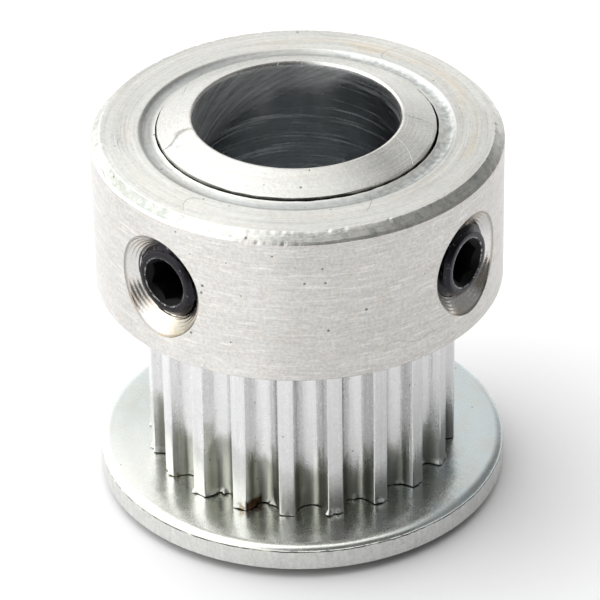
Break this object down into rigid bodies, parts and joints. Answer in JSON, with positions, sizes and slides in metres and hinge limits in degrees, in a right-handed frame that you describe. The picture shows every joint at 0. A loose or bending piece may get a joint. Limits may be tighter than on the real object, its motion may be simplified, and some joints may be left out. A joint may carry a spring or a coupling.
{
  "type": "timing belt pulley",
  "caption": "Timing belt pulley: a toothed sleeve with a plain shaft bore, a pressed belt flange at its lower end and a collar with hex-socket set screws at its upper end.",
  "frame": {"origin": "on the axis of the shaft bore, in the plane of the sleeve's lower end", "axes": "+Z along the shaft bore, from the flange up to the collar; +X along the axis of set screw A"},
  "size_m": [0.0162, 0.0162, 0.0162],
  "materials": {
    "sleeve_aluminium": "plain machined, drawn tooth flanks and a turned end face",
    "collar_aluminium": "fine turned, satin",
    "flange_zinc_steel": "bright zinc plate on punched sheet steel",
    "screw_black_steel": "black oxide, lightly oiled"
  },
  "bodies": {
    "pulley": {"toothed_sleeve": "sleeve_aluminium", "set_collar": "collar_aluminium", "belt_flange": "flange_zinc_steel"},
    "screw_a": {"set_screw_a": "screw_black_steel"},
    "screw_b": {"set_screw_b": "screw_black_steel"}
  },
  "joints": [
    {"name": "screw_a_travel", "type": "slide", "parent": "pulley", "child": "screw_a", "axis": [1, 0, 0], "range_m": [-0.001, 0.002]},
    {"name": "screw_b_travel", "type": "slide", "parent": "pulley", "child": "screw_b", "axis": [-0.1219, -0.9925, 0], "range_m": [-0.001, 0.002]}
  ]
}
